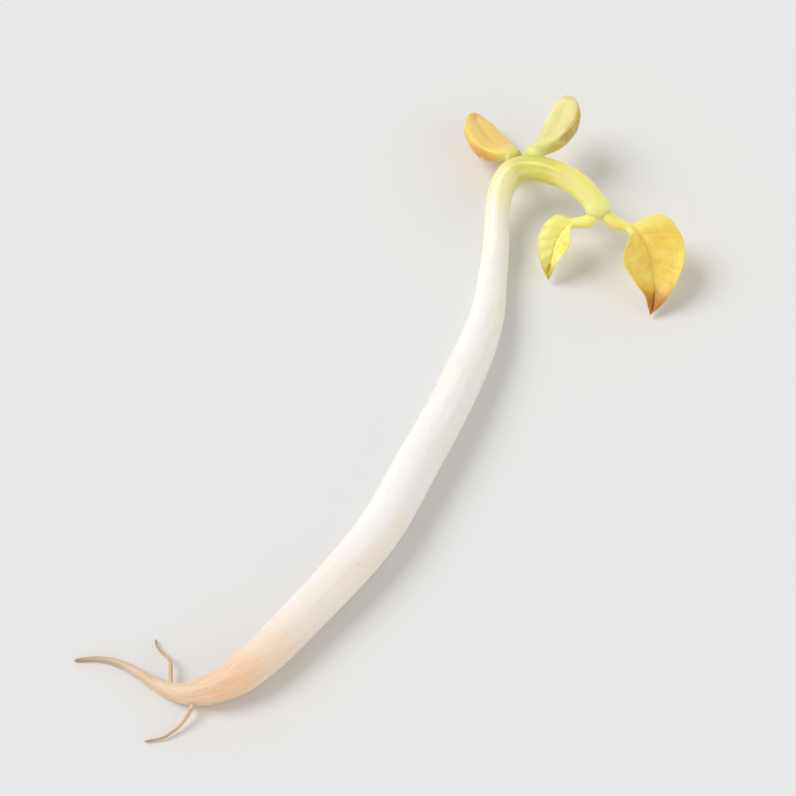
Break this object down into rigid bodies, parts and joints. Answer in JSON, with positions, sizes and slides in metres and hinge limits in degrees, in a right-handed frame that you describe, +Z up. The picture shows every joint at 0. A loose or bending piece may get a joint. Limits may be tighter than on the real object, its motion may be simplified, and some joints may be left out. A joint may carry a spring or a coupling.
{
  "type": "mung bean sprout",
  "caption": "Mung bean sprout lying on its side: thick white stem, tapering tan root, hooked yellow-green shoot, golden seed leaves and folded first leaves.",
  "frame": {"origin": "bottom centre of the sprout's bounding box, on the surface that it lies on", "axes": "+Z up from the surface, +Y from the root end towards the shoot end, +X towards the side that the shoot hooks over to"},
  "size_m": [0.0416, 0.049, 0.0053],
  "materials": {
    "stem": "moist, slightly translucent white plant flesh with a soft sheen",
    "root": "matte peach to tan root skin, browner towards the tip",
    "shoot": "smooth yellow-green young stem with a soft sheen",
    "seed_leaf": "golden, slightly shrivelled seed leaf skin",
    "leaf": "thin soft yellow-green leaf with fine veins"
  },
  "bodies": {
    "root": {"hypocotyl": "stem", "primary_root": "root", "lateral_rootlet_1": "root", "lateral_rootlet_2": "root", "epicotyl": "shoot", "cotyledon_outer": "seed_leaf", "cotyledon_inner": "seed_leaf", "primary_leaf_near": "leaf", "primary_leaf_far": "leaf"}
  },
  "joints": []
}
